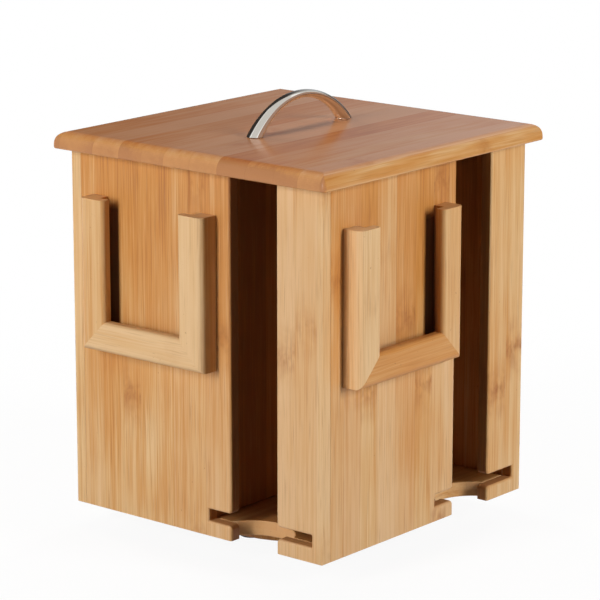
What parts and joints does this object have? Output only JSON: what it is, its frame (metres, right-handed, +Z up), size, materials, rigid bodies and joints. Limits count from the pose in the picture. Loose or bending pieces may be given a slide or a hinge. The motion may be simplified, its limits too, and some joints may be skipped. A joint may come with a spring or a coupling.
{
  "type": "revolving four-bay dispenser box",
  "caption": "Square bamboo carousel that turns on a hidden bearing, with slotted bays for flat packets, card holders on the faces and a lift-off lid with a bow handle.",
  "frame": {"origin": "centre of the box on the surface that its feet stand on", "axes": "+Z up along the turning axis, +X along the front face to the right, +Y from the front face to the back"},
  "size_m": [0.1776, 0.1776, 0.2154],
  "materials": {
    "bamboo_panel": "satin clear lacquer over laminated bamboo",
    "bamboo_rail": "satin clear lacquer over solid bamboo",
    "bamboo_lid": "satin clear lacquer over laminated bamboo",
    "bamboo_inner": "plain sanded bamboo",
    "base_wood": "plain sanded bamboo",
    "chrome": "bright plated",
    "zinc_steel": "zinc plated",
    "nylon": "natural moulded",
    "rubber": "matt"
  },
  "bodies": {
    "base": {"base_disc": "base_wood", "foot_1": "rubber", "foot_2": "rubber", "foot_3": "rubber", "foot_4": "rubber", "lower_plate": "zinc_steel", "centre_rivet": "zinc_steel", "lower_plate_screw_1": "zinc_steel", "lower_plate_screw_2": "zinc_steel", "lower_plate_screw_3": "zinc_steel", "lower_plate_screw_4": "zinc_steel"},
    "ball_cage": {"ball_cage": "nylon", "ball_1": "zinc_steel", "ball_2": "zinc_steel", "ball_3": "zinc_steel", "ball_4": "zinc_steel", "ball_5": "zinc_steel", "ball_6": "zinc_steel", "ball_7": "zinc_steel", "ball_8": "zinc_steel"},
    "carousel": {"upper_plate": "zinc_steel", "upper_plate_screw_1": "zinc_steel", "upper_plate_screw_2": "zinc_steel", "upper_plate_screw_3": "zinc_steel", "upper_plate_screw_4": "zinc_steel", "floor_board": "bamboo_inner", "front_divider": "bamboo_inner", "right_divider": "bamboo_inner", "back_divider": "bamboo_inner", "left_divider": "bamboo_inner", "front_panel": "bamboo_panel", "right_panel": "bamboo_panel", "back_panel": "bamboo_panel", "left_panel": "bamboo_panel", "front_strip": "bamboo_panel", "right_strip": "bamboo_panel", "back_strip": "bamboo_panel", "left_strip": "bamboo_panel", "front_holder_left_rail": "bamboo_rail", "front_holder_right_rail": "bamboo_rail", "front_holder_bottom_rail": "bamboo_rail", "right_holder_left_rail": "bamboo_rail", "right_holder_right_rail": "bamboo_rail", "right_holder_bottom_rail": "bamboo_rail", "back_holder_left_rail": "bamboo_rail", "back_holder_right_rail": "bamboo_rail", "back_holder_bottom_rail": "bamboo_rail", "left_holder_left_rail": "bamboo_rail", "left_holder_right_rail": "bamboo_rail", "left_holder_bottom_rail": "bamboo_rail"},
    "lid": {"lid_board": "bamboo_lid", "front_lid_cleat": "bamboo_inner", "right_lid_cleat": "bamboo_inner", "back_lid_cleat": "bamboo_inner", "left_lid_cleat": "bamboo_inner", "handle_bow": "chrome", "handle_screw_1": "zinc_steel", "handle_screw_2": "zinc_steel"}
  },
  "joints": [
    {"name": "carousel_spin", "type": "hinge", "parent": "base", "child": "carousel", "pos_m": [0, 0, 0.0086], "axis": [0, 0, 1], "continuous": true},
    {"name": "cage_spin", "type": "hinge", "parent": "base", "child": "ball_cage", "pos_m": [0, 0, 0.0086], "axis": [0, 0, 1], "continuous": true},
    {"name": "lid_lift", "type": "slide", "parent": "carousel", "child": "lid", "axis": [0, 0, 1], "range_m": [0, 0.06]}
  ],
  "couplings": [
    {"joint": "cage_spin", "follows": "carousel_spin", "ratio": 0.5}
  ]
}
